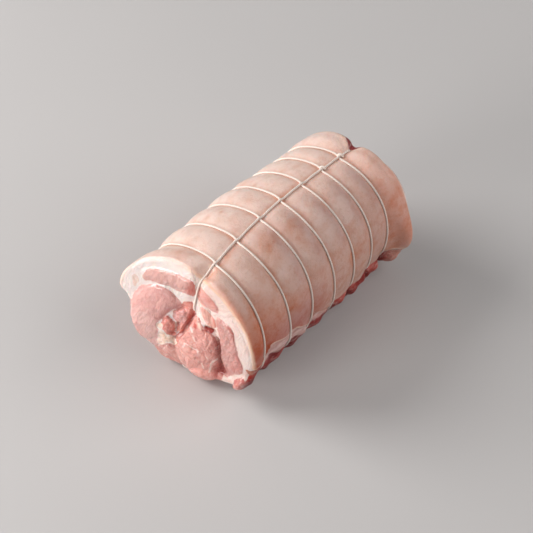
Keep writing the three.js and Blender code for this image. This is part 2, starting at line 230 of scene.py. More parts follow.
def lobe_height(u, z, lobes):
    highest = 0 * u
    for lobe in lobes:
        along, across = lobe_axes(u, z, lobe)
        dome = np.maximum(0, 1 - along**2 - across**2) ** 0.6
        highest = np.maximum(highest, lobe[2] * dome)
    return highest


def to_line(u, z, line):
    nearest = np.inf
    for (from_u, from_z), (to_u, to_z) in zip(line, line[1:]):
        du = to_u - from_u
        dz = to_z - from_z
        t = np.clip(((u - from_u) * du + (z - from_z) * dz) / (du * du + dz * dz), 0, 1)
        nearest = np.minimum(nearest, np.hypot(u - from_u - t * du, z - from_z - t * dz))
    return nearest


def to_lines(u, z, lines):
    return np.min([to_line(u, z, line) for line in lines], axis=0)


def strongest(u, z, lines):
    """The most that any line gives at a point; each has a strength, a half width and its points."""
    given = [strength * bell(to_line(u, z, line), width) for strength, width, line in lines]
    return np.max(given, axis=0)


def inside_distance(u, z, outline):
    """Distance to a closed outline, positive inside it."""
    closed = outline + outline[:1]
    inside = np.zeros(np.shape(u), bool)
    for (from_u, from_z), (to_u, to_z) in zip(closed, closed[1:]):
        crosses = (from_z > z) != (to_z > z)
        slope = (to_u - from_u) / (to_z - from_z) if to_z != from_z else 0
        inside ^= crosses & (u < from_u + (z - from_z) * slope)
    away = to_line(u, z, closed)
    return np.where(inside, away, -away)


def crevice_bow(end, down):
    return end.bow * 6.75 * down**2 * (1 - down)


def crevice(z, end):
    """The line and depth of the crevice below the pole of an end, where the twine lies."""
    pole_u, pole_z = end.pole
    down = np.clip((pole_z - z) / (pole_z - TABLE), 0, 1)
    return pole_u * (1 - down) - crevice_bow(end, down), end.crevice * (1 - 0.55 * down)


def with_crevice(height, u, z, end):
    """Presses a height of an end down into its crevice, whose sides close over the twine."""
    pole_z = end.pole[1]
    line, depth = crevice(z, end)
    depth = depth * end.gap / end.crevice
    share = fade(np.abs(u - line), 1, 3.4) * fade(z, pole_z - 1, pole_z + 6)
    share = share * rise(z, pole_z - 48, pole_z - 30)
    return mix(height, -depth, share)


# The near face, drawn where the camera sees it (u, z)

MUSCLES = [  # tone, marbling, grain in degrees, bulge, its lumps' size, height and stretch along the grain
    ((228, 176, 167), 0.15, 70, 1, (5, 0.12, 3), [  # upper left
        (-50, 37.5), (-44.5, 42.5), (-37.5, 45.5), (-30, 47.7), (-20.5, 49.5), (-10.5, 51.4), (-0.5, 53),
        (-1, 40), (-2, 34.5), (-7.5, 31.5), (-15, 29.8), (-32, 29.3), (-47, 28), (-50.5, 25.8),
        (-52.5, 29.5)]),
    ((230, 172, 165), 0.12, 72, 1.3, (6, 0.12, 3.5), [  # big left
        (-60.5, -4), (-60.3, 1.7), (-58.4, 8.9), (-54.9, 16), (-48.4, 22.4), (-40.6, 25.1), (-32, 25.7),
        (-24.9, 23.4), (-19.1, 19.1), (-14.5, 14), (-13.5, 10.6), (-17, 8.9), (-22.7, 4.6), (-26, -1.1),
        (-28, -6.1), (-32.7, -12.3), (-35.4, -17.6), (-37.1, -22.6), (-35.6, -29.7), (-33.7, -36.9),
        (-32.7, -45.4), (-34.9, -49.7), (-48, -62), (-62, -52), (-74, -30), (-74, -6)]),
    ((228, 152, 140), 0.1, 12, 0.6, (3, 0.35, 3), [  # strip by twine
        (-14, 18.6), (-10.6, 22), (-3.4, 25.7), (-2.6, 18.9), (-0.9, 13.1), (-0.3, 10.9), (-4, 4),
        (-5.3, -2), (-9, -10), (-11, -15.5), (-13.5, -13), (-10, -8), (-9.5, 0), (-11, 5), (-14, 9),
        (-15, 14)]),
    ((216, 156, 150), 0.2, 40, 2.2, (5, 0.6, 1.4), [  # inner left
        (-23.6, 1.7), (-20, 7), (-15, 10.8), (-10, 8), (-8.6, 1), (-9, -8), (-12.5, -12.8), (-16, -11.8),
        (-19.4, -10.8), (-22.8, -6)]),
    ((236, 158, 146), 0.1, 75, 1.2, (4.5, 0.9, 1.6), [  # low dark
        (-32.5, -12), (-28.5, -7.5), (-24.5, -9), (-21.5, -13), (-20, -18), (-18.8, -24), (-17, -29.5),
        (-20, -32.5), (-25, -31.5), (-30.5, -31), (-33.5, -27), (-34.3, -20)]),
    ((232, 162, 150), 0.1, 80, 1.4, (4, 0.55, 2), [  # low salmon
        (-17.6, -12), (-14, -10.8), (-9.3, -9.3), (-9.8, -14), (-11.5, -22.6), (-15, -22.8), (-17, -19)]),
    ((220, 158, 148), 0.5, 150, 0.8, (6, 0.5, 1.4), [  # bottom left
        (-32, -45.4), (-23.4, -42.3), (-18, -36.9), (-14.9, -52.6), (-4.1, -60), (-10, -68), (-30, -64),
        (-38, -52.6)]),
    ((232, 164, 153), 0.35, 58, 1.2, (10, 0.6, 1.3), [  # centre
        (0.1, 10), (3.4, 8.9), (5.1, 1.7), (9.4, -2.5), (14, -4), (18, -1.9), (23.1, -4.3), (23.7, -24),
        (26.9, -35.4), (29.4, -46.9), (28.3, -58.3), (22, -72), (6, -76), (-10, -68), (-13.4, -53.3),
        (-20, -42.6), (-20, -35.4), (-19, -28), (-14, -22.6), (-8, -10.4), (-4.3, 0.3), (-2.6, 5.5)]),
    ((176, 84, 76), 0, 30, 0.2, (3.5, 0.5, 1.5), [  # gap
        (10, 2), (13.5, 4), (18, 6.2), (20.6, 5.8), (19.5, 2), (17, -1.5), (14, -3.6), (12.5, -3),
        (10, -3.2), (7, -5), (8.4, -1)]),
    ((228, 168, 154), 0.2, 85, 0.6, (6, 0.1, 3), [  # v piece
        (4, 26.7), (10.9, 26.7), (20.1, 24.3), (23.1, 14.6), (21.4, 7.6), (12.4, 5), (8.6, 9),
        (4.8, 18.9)]),
    ((228, 166, 156), 0.1, 40, 0.7, (6, 0.1, 3), [  # tongue
        (1.5, 54), (5, 54.5), (9.4, 51), (18.7, 46.8), (25.2, 40), (26, 35), (21.5, 30.8), (9.4, 30),
        (1.8, 31.5), (0.6, 40)]),
    ((214, 158, 150), 0.3, 76, 1, (4.2, 0.55, 4), [  # right
        (20.6, 26.7), (28, 28.9), (36.3, 28.1), (41.7, 21.7), (43.7, 13.1), (44.9, 1.7), (47.3, -6.9),
        (52.6, -17.7), (53, -27), (47.5, -34.5), (41, -40), (38, -45.4), (32.5, -52.5), (30, -48),
        (27.3, -35.4), (25, -24), (24.6, -9.7), (27, 0), (24.4, 8)]),
    ((178, 72, 66), 0.1, 70, 0.4, (4, 0.3, 3), [  # dark wedge
        (24.5, -31.4), (30.1, -45.4), (29.4, -52.6), (24, -61.9), (18, -66), (22, -48.3), (22.7, -38.3)]),
    ((204, 130, 122), 0.9, 55, 1.2, (6, 0.8, 1.6), [  # bottom right
        (39, -58), (40.5, -51), (43, -45), (47, -38.5), (52, -35), (55, -37), (61, -33), (64, -44),
        (54, -60), (45, -68), (38, -64)]),
    ((206, 132, 104), 0.2, 75, 0.4, (4, 0.2, 2), [  # under rind end
        (55, -18.5), (64, -15), (65, -22), (62, -25), (57.5, -23)]),
    ((190, 60, 54), 0.1, 75, 0.4, (4, 0.2, 2), [  # red edge
        (59.5, -25), (66, -20), (68, -38), (59, -35), (58, -30)]),
    ((242, 210, 198), 0.3, 80, 0.1, (5, 0.1, 1), [  # left patch
        (-62, 20), (-60.5, 28.5), (-57, 29), (-55.5, 24), (-58, 15), (-60.6, 13)]),
]
RIND_LINE = [
    (-72, 10), (-67, 34.6), (-60.6, 45.3), (-53.4, 52.4), (-44.9, 57.4), (-33.4, 61), (-22, 63.1),
    (0, 63.9), (5.9, 63.9), (15.1, 61.7), (28, 57), (38.4, 49.8), (48, 40.8), (55.5, 31.2), (59.3, 20),
    (62, 8.9), (63.5, -1.1), (62.6, -18),
]
BELOW_RIND = [(40, -80), (-60, -80)]  # closes the rind's line below the roll
YELLOW_FAT = [
    (-35, -25, 3), (-31, -35, 4), (-31, -42, 4), (-22, -34, 4), (-20, -38, 3), (-27, -38, 4),
]
SHADOWS = [  # strength, half width, line of each dark gap
    (0.9, 1, [(-0.6, 12), (-4.1, 5), (-5.2, 0), (-8.8, -9), (-11, -15), (-11.7, -20)]),
    (0.6, 1.2, [(-23.5, -11.5), (-21.5, -13)]), (0.7, 0.9, [(-17.3, -11.5), (-18.2, -20), (-17.5, -23)]),
    (0.6, 1.1, [(-24, -26.5), (-20, -24.5), (-16, -22.5)]), (0.7, 1.2, [(-19.5, -30), (-17.8, -29.5)]),
    (0.7, 1, [(-27.5, -8), (-26, -10.5)]), (0.9, 1.3, [(23, -6), (23.6, -15), (25, -25)]),
    (0.9, 1.4, [(24.6, -32), (27.2, -40), (28.8, -50)]), (0.6, 0.9, [(11, 2.5), (14, 3.8), (19.5, 5)]),
    (0.8, 0.9, [(7, -6), (12, -2.5), (16, -1), (19, 3)]),
    (0.28, 2.4, [(-14, 10), (-20, 6), (-26, -1), (-31, -9)]), (0.5, 1.4, [(-33, -14), (-38, -18.5)]),
    (0.6, 1.2, [(-0.5, -26), (-1, -23)]),
]
FOLDS = [  # thin creases
    [(7, -4.5), (9, -8), (8, -15), (5, -20)], [(4, -33), (8, -36), (8, -41)], [(-5, -40), (-1, -41)],
    [(9, -41), (10, -45), (8, -50)], [(0, -48), (-1, -52)], [(5, -52), (4, -56)],
    [(16, -40), (13, -48), (12, -55)], [(22, -40), (20, -50), (21, -58)], [(14, -16), (10, -28)],
    [(17, -26), (16, -32)], [(-12, -36), (-6, -38), (-1, -38.5), (4, -38)],
    [(13, -7), (12, -12), (14, -16)], [(20, -10), (17, -20), (13, -30)],
]
VEINS = [  # thin white seams
    [(-12, -37.2), (-6, -39), (-1, -39.3), (4, -38.8)], [(0, -38), (1, -42)],
    [(25, -29), (23, -33), (20, -38), (17, -43), (15.5, -48), (15, -54), (14, -60)],
    [(-12, -39), (-13, -43)], [(-4, -24), (-2, -28)], [(6, -53), (8, -58)], [(-6.5, -13), (-5, -18)],
    [(10, -40), (12.5, -43)], [(36, -58), (42, -54), (47, -53), (51, -48)],
    [(44, -63), (50, -57), (53, -50)], [(50, -44), (57, -41)],
]
STAINS = [  # tone, strength, half width and line of each deeper or paler stretch of meat
    ((204, 88, 72), 0.75, 5.5, [(-2, 50), (-3.5, 42), (-7, 36)]),
    # The next row is partly the strip's own deep red, partly a painted shadow under the fat's edge above it
    ((176, 84, 74), 0.5, 1.8, [(-4, 24.5), (-9, 21.5)]),
    ((196, 84, 70), 0.6, 2.6, [(-8, -6), (-6, 3), (-3, 9), (-2, 14)]),
    ((222, 132, 118), 0.6, 3.5, [(12, 41), (20, 42)]),
    ((214, 112, 94), 0.6, 1.7, [(18, 25), (19, 19), (21.5, 12)]),
    ((206, 118, 104), 0.55, 3.4, [(36, 24), (40, 20), (42.5, 14)]),
    ((204, 112, 104), 0.5, 3.6, [(45, -10), (47, -17)]),
    ((186, 96, 90), 0.6, 2.6, [(34, -37.5), (35, -41)]),
    ((190, 86, 76), 0.55, 4, [(21, -8), (20.5, -20), (19, -35)]),
    ((180, 76, 68), 0.6, 4, [(24, -42), (21, -60)]),
    ((238, 184, 172), 0.5, 5, [(-12, -45), (-12, -52)]),
    ((190, 50, 42), 0.8, 1.9, [(-1, -4.5), (-1.6, -9)]), ((242, 208, 190), 0.9, 2.4, [(3, 0), (3.2, -5)]),
    ((240, 214, 204), 0.7, 1.4, [(-6, -12), (-5, -17.5)]),
    ((238, 210, 200), 0.6, 1.3, [(-4.6, -22.5), (-3.8, -25)]),
    ((206, 136, 106), 0.6, 2, [(-26.5, -32.5), (-24, -34)]),
    ((200, 120, 100), 0.6, 1.8, [(-20, -35.5), (-18, -37)]),
    ((176, 84, 76), 0.6, 2.2, [(-25, -42.5), (-23, -44)]),
    ((196, 90, 82), 0.5, 1.8, [(51, -39), (54, -37)]),
    ((242, 202, 194), 0.6, 9, [(-52, -22), (-40, -44)]),
    ((206, 116, 106), 0.5, 5, [(41, -32), (50, -22)]),
]


def rounded(outline):
    """A closed outline with its corners cut once."""
    points = np.array(outline, float)
    after = np.roll(points, -1, 0)
    cut = np.stack([0.75 * points + 0.25 * after, 0.25 * points + 0.75 * after], 1)
    return cut.reshape(-1, 2).tolist()


def muscle_fields(u, z):
    """Signed distance to the nearest muscle, and what the muscle there is like."""
    wander = np.stack([u, z], -1)
    u = u + 0.9 * rough(wander, 9, 3.1) + 0.5 * rough(wander, 4, 1.1)
    z = z + 0.9 * rough(wander, 9, 7.7) + 0.5 * rough(wander, 4, 6.2)
    tones, marbling, grains, bulges, _, outlines = zip(*MUSCLES)
    distances = np.stack([inside_distance(u, z, rounded(outline)) for outline in outlines])
    nearest = distances.argmax(0)
    weight = np.exp(0.8 * (distances - distances.max(0)))
    weight /= weight.sum(0)
    along, across = turn_axes(u, z, rad(grains)[nearest])
    lumps, creases = lumps_and_creases(u, z, nearest)
    return SimpleNamespace(
        flesh=distances.max(0),
        tone=np.einsum("m...,mc->...c", weight, linear(tones)),
        marble=np.einsum("m...,m->...", weight, marbling),
        bulge=np.einsum("m...,m->...", weight, bulges),
        lumps=lumps, creases=creases, along=along, across=across,
    )


def lumps_and_creases(u, z, nearest):
    """Lumps drawn out along each muscle's grain, and the distance to the creases between them."""
    lumps = 0 * u
    creases = FAR_OFF + 0 * u
    for index, (_, _, grain, _, (size, height, stretch), _) in enumerate(MUSCLES):
        here = nearest == index
        along, across = turn_axes(u[here], z[here], rad(grain))
        along = along / stretch
        dome, edge = cells(along / size, across / size, index)
        finer = cells(2.2 * along / size, 2.2 * across / size, index)[0]
        lumps[here] = height * (dome - 0.5 - 0.5 * bell(edge, 0.1) + 0.3 * finer)
        creases[here] = edge * size + 2 * max(0, 0.75 - height)
    return lumps, creases


def seen(u, z, out):
    return u - VIEW_LEAN[0] * out, z - VIEW_LEAN[1] * out


def face_twine(z):
    """Where the twine crosses the near face above the pole."""
    pole_u, pole_z = NEAR.pole
    up = np.clip((z - pole_z) / NEAR.top_height, 0, 1)
    return mix(pole_u, top_line(NEAR_END), up) - NEAR.top_bow * 4 * up * (1 - up)


def muscle_relief(u, z):
    """Muscles stand a little proud of the fat, and carry lumps, seams and creases."""
    fields = muscle_fields(u, z)
    place = np.stack([u, z], -1)
    depth = fields.flesh
    raised = fields.bulge * (1 - np.exp(-np.maximum(depth, 0) / 2.2))
    inside = rise(depth, 0, 3)
    uneven = 0.4 * rough(place, 9, 1.3) + 0.2 * rough(place, 4.5, 5.2)
    creases = 0.6 * bell(to_lines(u, z, FOLDS), 0.8)
    seams = 0.2 * bell(to_lines(u, z, VEINS), 0.6)
    knobs = 1.2 * np.exp(-((u + 27) ** 2 + (z + 38) ** 2) / 90) * cells(u / 4.5, z / 5.5, 3)[0]
    fat_folds = (0.12 * rough(place, 9, 4.4) + knobs) * (1 - inside)
    return raised + inside * (fields.lumps + uneven - creases + seams) + fat_folds


def near_base(u, z):
    return NEAR_END - LEFT_LEAN * softly(LEAN_WAY[0] * u + LEAN_WAY[1] * z, 15) + 1.5


def near_lobes(u, z):
    """The main forms of the near face, drawn in where the twine crosses it."""
    return lobe_height(u, z, NEAR.lobes) - 4 * bell(u - face_twine(z), 4.5) * rise(z, 5, 40)


def near_face(u, z):
    lobes = near_lobes(u, z)
    out = lobes
    for _ in range(2):
        out = lobes + muscle_relief(*seen(u, z, out))
    out = out - strongest(*seen(u, z, lobes), NEAR.holes)
    return near_base(u, z) - with_crevice(out, u, z, NEAR)


def near_face_plain(u, z):
    """The near face without its muscles, which is enough to place its rim."""
    return near_base(u, z) - with_crevice(near_lobes(u, z), u, z, NEAR)


def far_face(u, z):
    notch = 2.5 * bell(u + 1, 6) * rise(z, 0, 45)
    place = np.stack([u, z], -1)
    height = lobe_height(u, z, FAR.lobes) - notch - strongest(u, z, FAR.holes)
    inner = fade(np.hypot(u, z), 42, 56)
    height = height + inner * (0.7 * rough(place, 9, 2.9) + 0.3 * rough(place, 4, 6.1))
    return FAR_END - 8 + 0.08 * u + with_crevice(height, u, z, FAR)


# The side

def spot(middle, half):
    """A soft spot of each ring round an angle from the top, in degrees."""
    return bump(ANGLE, rad(middle), rad(half))


def flare_sum(flares):
    return sum(out * spot(middle, half) for middle, half, out in flares)


def far_flare(t):
    right = rise(DEGREES, -1, 20) * fade(DEGREES, 112, 150)
    low = spot(112, 24) * (1 - 0.8 * rise(DEGREES, 119, 127))
    whole = FAR_RIGHT_FLARE * right + flare_sum(FAR_FLARES)
    return whole * rise(t, 0, 0.8) + FAR_LOW_FLARE * low * rise(t, 0.4, 1)


def rind_edges(x):
    """Angles of the rind's two lower edges."""
    left = -84 - 14 * rise(x, -115, -75) + 2 * np.sin(x / 12 + 1)
    return rad(np.interp(x, *zip(*RIND_RIGHT))), rad(left)


def radius_under_twine(x):
    places, radii, _, _ = zip(*LOOPS)
    return np.interp(x, places, radii) - SEAT


def roundness(angle):
    """The section is a little three-cornered above and even below."""
    above = rise(np.cos(angle), -0.9, -0.2)
    uneven = (0.01 * np.cos(2 * angle) - 0.016 * np.sin(2 * angle)
              - 0.006 * np.cos(3 * angle) + 0.038 * np.sin(3 * angle))
    return 1 + mix(0.01, uneven, above)


def top_line(x):
    """How far the lengthwise twine lies to one side along the top."""
    side, middle, bend, start = TOP_LINE
    return side + bend * (np.maximum(x, start) - middle) ** 2


def fullness(bay, t):
    """How far a bay swells out, the flare of an end, and the hang of the low meat."""
    if bay == 0:
        full = (1 - t**2.6) * (0.75 + 0.25 * rise(t, 0, 0.5))
        return full, flare_sum(NEAR_FLARES) * fade(t, 0, 0.9), 0
    if bay == BAYS - 1:
        full = (1 - (1 - t) ** 2.6) * (1 - 0.4 * rise(t, 0.5, 1))
        lump = mix(0.8, 1, rise(t, 0.3, 0.6)) * (1 - 0.4 * rise(t, 0.7, 1))
        return full, far_flare(t), rise(t, 0.06, 0.2) * lump
    return 1 - abs(2 * t - 1) ** 2.4, 0, rise(min(t, 1 - t), 0.06, 0.2)


def sag(z, x):
    """Lets the lower half hang down, so that the roll rests along its whole length."""
    around = radius_under_twine(x) * roundness(np.pi)
    stretch = (PRESS - TABLE) / around - 1
    return np.where(z < 0, z * (1 + stretch * (z / around) ** 2), z)


def settle(z, level):
    """Rests a height on the table or, under twine, on the groove that it lies in."""
    above = z - level
    soft = softly(above, 3) - 0.7 * fade(above, 0, 14)
    return np.maximum(level + soft, TABLE)


def side_point(bay, t, x):
    """The ring of the side at a share of the way along its bay."""
    full, flare, hang = fullness(bay, t)
    right, left = rind_edges(x)
    under = np.maximum(rise(ANGLE - right, 0, rad(4)), rise(left - ANGLE, 0, rad(4)))
    twine_below = spot(180, 4)
    ragged = 0.8 * np.sin(0.21 * x + 5 * ANGLE) + 0.6 * np.sin(0.37 * x - 9 * ANGLE + 1)
    hang_end = 126 if bay == BAYS - 1 else 138
    hang = HANG[bay] * hang * fade(DEGREES, hang_end, hang_end + 27) * rise(ANGLE - right, 0, rad(7))
    pinched = 2 * spot(125, 22) * (1 - full) * fade(x, -40, -10)
    radius = radius_under_twine(x) * roundness(ANGLE) + flare + hang - pinched
    swell = SWELL[bay] * (1 + 0.5 * spot(-65, 35) * fade(x, 0, 30))
    radius = radius + swell * full * (1 - 0.6 * spot(0, 9)) * (1 - 0.4 * under)
    radius = radius - 0.8 * (spot(0, 4) + twine_below)
    step = mix(0.5, 2.2, rise(x, -40, -15))
    radius = radius - step * bump(ANGLE, right + rad(3.5), rad(3))
    radius = radius - 2.8 * bump(ANGLE, left - rad(4), rad(3))
    radius = radius + under * ragged - 2 * spot(0, 3.5) * rise(x, 82, 94)
    turned = ANGLE + top_line(x) / radius * spot(0, 40)
    z = sag(radius * np.cos(turned), x)
    return radius * np.sin(turned), settle(z, TABLE + GROOVE * np.maximum(1 - full, twine_below))


def corner_size(end):
    low = end.rind_low
    rind = rise(DEGREES, -97, -87) * fade(DEGREES, low - 5, low + 5)
    corner = mix(end.meat_corner, end.rind_corner, rind)
    return corner if end is NEAR else mix(corner, 3, spot(-1, 7))


def rim(end):
    """Where the side meets the corner of an end."""
    near = end is NEAR
    x = np.full(AROUND, NEAR_END if near else FAR_END)
    for _ in range(4):
        u, z = side_point(0 if near else BAYS - 1, 0 if near else 1, x)
        x = near_face_plain(u, z) + corner_size(NEAR) if near else far_face(u, z) - corner_size(FAR)
    return x, u, z


def loop_x(loop, angle):
    return loop[0] + loop[2] * np.cos(angle) + loop[3] * np.sin(angle)


def end_ring(end, rim_at, q, phi):
    """A ring of an end: q runs from the pole to the start of the corner, then phi turns round it."""
    _, rim_u, rim_z = rim_at
    pole_u, pole_z = end.pole
    corner = corner_size(end)
    share = corner / np.hypot(rim_u - pole_u, rim_z - pole_z)
    reach = (1 - share) * q + share * math.sin(phi)
    above = end.top_bow * 4 * reach * (1 - reach) * spot(0, 45)
    below = crevice_bow(end, reach) * spot(180, 45)
    u = mix(pole_u, rim_u, reach) - above - below
    z = mix(pole_z, rim_z, reach)
    back = corner * (1 - math.cos(phi))
    x = near_face(u, z) + back if end is NEAR else far_face(u, z) - back
    return np.stack([x, u, z], -1)


def make_rings():
    """The rings of the roll from the near pole to the far one, and both poles. Each ring has the part that
    it belongs to, its place there and its distance from the nearest loop, as a share of its bay."""
    near_rim = rim(NEAR)
    far_rim = rim(FAR)
    stations = [near_rim[0]] + [loop_x(loop, ANGLE) for loop in LOOPS] + [far_rim[0]]
    rows = []
    for q in np.linspace(0, 1, NEAR_RINGS + 1)[1:]:
        rows.append((end_ring(NEAR, near_rim, q ** 0.9, 0), "near", 0, 1))
    for phi in np.linspace(0, np.pi / 2, CORNER_RINGS + 1)[1:]:
        rows.append((end_ring(NEAR, near_rim, 1, phi), "near", phi, 1))
    for bay in range(BAYS):
        for step in range(1 if bay == 0 else 0, BAY_RINGS):
            s = step / BAY_RINGS
            t = s - 0.09 * math.sin(TURN * s)
            x = mix(stations[bay], stations[bay + 1], t)
            from_loop = 1 - t if bay == 0 else t if bay == BAYS - 1 else min(t, 1 - t)
            rows.append((np.stack([x, *side_point(bay, t, x)], -1), "side", t, from_loop))
    for phi in np.linspace(np.pi / 2, 0, CORNER_RINGS + 1):
        rows.append((end_ring(FAR, far_rim, 1, phi), "far", phi, 1))
    for q in np.linspace(1, 0, FAR_RINGS + 1)[1:-1]:
        rows.append((end_ring(FAR, far_rim, q, 0), "far", 0, 1))
    poles = [end_ring(NEAR, near_rim, 0, 0)[0], end_ring(FAR, far_rim, 0, 0)[0]]
    return [np.array(column) for column in zip(*rows)], poles


# What the surface is made of at each point

# Rind tones left to right: partly its own pinker right, partly painted light left and painted shade right
SKIN_LEFT = (236, 209, 197)
SKIN_TOP = (231, 199, 187)
SKIN_RIGHT = (212, 168, 154)
# Brown of the rind's real blotches, also used for the painted contact shadow beside the twine
BLOTCH_AND_TWINE_SHADOW = (205, 132, 100)
EDGE_TAN = (206, 126, 97)
# Painted shade: violet-grey on the bulges' slopes that face the far end
SHADE_BEFORE_LOOPS = (186, 146, 142)
BLOTCHES = [  # place along the roll, angle from the top in degrees, size, strength
    (-40, 20, 11, 0.55), (-11, 21, 8, 0.4), (-54, 64, 9, 0.45), (-14, 32, 7, 0.3), (-94, -27, 7, 0.35),
    (-60, 40, 9, 0.25), (74, 39, 12, 0.3), (97, 95, 14, 0.4), (88, 60, 10, 0.25), (30, 75, 9, 0.3),
    (-37, -30, 2.2, 0.6), (-47, -38, 3, 0.45), (50, -18, 3, 0.3), (8, -33, 3, 0.3),
]
UNDER_TONES = [(190, 112, 106), (214, 152, 144)]
# Meat under the rind's right edge: partly its own deep red, partly painted shade, darkest near the cut end
SHADED_TONES = [(128, 40, 40), (168, 70, 66)]
RIGHT_SHADED_TONES = [(150, 58, 54), (192, 100, 92)]
STRIP_TONES = [(206, 158, 150), (228, 192, 186)]
STRIP = [(-92, 2), (-85, 17), (-60, 16), (-27, 11), (5, 4), (20, 1)]  # its width at places along the roll
FAR_LUMP_TONE = (218, 156, 142)
# Red meat of the far end's notch and top, deepened with painted shade
FAR_RED_AND_SHADE = (150, 66, 66)
FAR_TONES = [(196, 128, 122), UNDER_TONES[1]]
FAR_TOP_MUSCLE = (0, 48, 0, 13, 11, 0)  # drawn on the far face like its lobes, but flat
UNDER_FLESH = 3  # bare meat under the rind counts as this deep inside a muscle


def linear(tone):
    share = np.array(tone, float) / 255
    return np.where(share <= 0.04045, share / 12.92, ((share + 0.055) / 1.055) ** 2.4)


def blend(tone, other, share):
    """Two linear tones mixed at each point."""
    return mix(tone, other, share[..., None])


def tint(tone, other, share):
    """A linear tone with a share of a colour mixed in at each point."""
    return blend(tone, linear(other), share)


def between(tones, share):
    return tint(linear(tones[0]), tones[1], share)


def side_rind(x):
    """Distance from the rind's lower edges, positive on the rind."""
    right, left = rind_edges(x)
    return SKIN_RADIUS * np.minimum(right - ANGLE, ANGLE - left)


def notch_rind(place):
    """Distance from the rind's edge at the notch of the far end, negative where meat shows, which is
    painted
    dark red: its own red deepened with painted shade.
    """
    x, u, z = np.moveaxis(place, -1, 0)
    edge = 90 + 0.75 * np.maximum(1.5 - u, 0) + 1.4 * np.maximum(u - 1.5, 0)
    return np.where(z > 30, edge - x, 20)


def skin_tone(place):
    """The rind, blotched and tan towards the right rim. It is paler on the lit left and darker, pinker on
    the
    shaded right: partly its own tone, partly painted light and shade. Painted contact shadow lines the
    twine, and painted shade falls just before the far loops and low on the right of the near half.
    """
    x = place[..., 0]
    tone = tint(between((SKIN_LEFT, SKIN_TOP), rise(ANGLE, -0.9, 0.3)), SKIN_RIGHT,
                rise(ANGLE, 0.1, 1.5))
    spread = 0 * x
    wander = 1 + 0.35 * rough(place, 8, 4.8)
    for blotch_x, degrees, size, strength in BLOTCHES:
        along = (x - blotch_x) / size
        around = (ANGLE - math.radians(degrees)) * SKIN_RADIUS / size
        spread = np.maximum(spread, strength * np.exp(-(along**2 + around**2) * wander))
    spread = np.clip(spread + 0.16 * rise(rough(place, 17, 9.9), 0.15, 0.9), 0, 1)
    tone = tint(tone, BLOTCH_AND_TWINE_SHADOW, spread)
    to_loops = np.array([loop_x(loop, ANGLE) - x for loop in LOOPS])
    # Painted contact shadow: a warm, darker line beside each loop and along the lengthwise twine
    beside_top = np.abs(ANGLE * SKIN_RADIUS - top_line(x))
    tone = tint(tone, BLOTCH_AND_TWINE_SHADOW, 0.42 * bell(np.minimum(np.abs(to_loops).min(0), beside_top), 2.8))
    # Painted shade on the slopes just before each loop from the third on, which face the far end
    before = 0.35 * bell(to_loops[2:] - 6, 6).max(0)
    tone = tint(tone, SHADE_BEFORE_LOOPS, before * rise(ANGLE, 0.05, 0.4) * fade(ANGLE, 0.8, 1.3))
    tan = (0.05 + 0.6 * rise(ANGLE, 0, 0.9)) * bell(np.maximum(x - NEAR_END, 0), 9)
    tan = np.maximum(tan, 0.75 * rise(ANGLE, 0.45, 1.2) * fade(x, -90, -50))
    tone = tint(tone, EDGE_TAN, tan)
    # Painted shade, darker and redder, low on the right of the near half; the far bay's right side is
    # warmer
    low = (rise(ANGLE, 0.95, 1.6) * fade(x, -45, 15))[..., None]
    far = (rise(ANGLE, 0, 0.7) * rise(x, 76, 88))[..., None]
    return tone * (1 - low * (0.22, 0.42, 0.4)) * (1 + far * (0.12, -0.03, -0.08))


def strip_width(x):
    """How far the pale strip reaches down from the rind's edge."""
    return np.interp(x, *zip(*STRIP))


def under_tone(place, rind):
    """Bare meat under the rind's edges, with a pale strip along the edge near the cut end. On the right it
    takes darker tones that are partly its own deep red and partly painted shade.
    """
    x = place[..., 0]
    drawn = place * (0.35, 1, 1)
    share = rise(rough(place, 16, 7.1), -0.4, 0.5)
    right = rise(ANGLE, 0.9, 1.5) * fade(ANGLE, 2.5, 3)
    shaded = blend(between(SHADED_TONES, share), between(RIGHT_SHADED_TONES, share), rise(x, -5, 25))
    shaded = tint(shaded, FAR_LUMP_TONE, rise(x, 80, 92))
    meat = blend(between(UNDER_TONES, share), shaded, right)
    skins = rise(rough(drawn, 7, 2.1), 0.25, 0.6)
    meat = tint(meat, STRIP_TONES[1], (0.45 - 0.3 * right) * skins)
    strip = between(STRIP_TONES, rise(rough(drawn, 4, 6.6), -0.3, 0.5))
    below = rise(-rind - strip_width(x) + 1.6 * rough(place, 8, 5.5), -1.2, 1.2)
    return blend(strip, meat, below)


def side_fields(place, _):
    covered = side_rind(place[..., 0])
    notch = notch_rind(place)
    rind = np.minimum(np.minimum(2 * covered, 12), notch)
    # The far notch's meat: its own red deepened with painted shade
    tone = tint(under_tone(place, covered), FAR_RED_AND_SHADE, rise(-notch, -0.5, 0.5))
    tone = blend(skin_tone(place), tone, rise(-rind, -1, 2))
    return dict(rind=rind, flesh=UNDER_FLESH, marble=0.3, wet=0.3 * rise(rind, -2, 1), tone=tone,
                fibre=place * (0.4, 1, 1))


def far_flesh(u, z):
    flesh = -20 + 0 * u
    for lobe in FAR.lobes + [FAR_TOP_MUSCLE]:
        flesh = np.maximum(flesh, (0.92 - np.hypot(*lobe_axes(u, z, lobe))) * lobe[4])
    return flesh


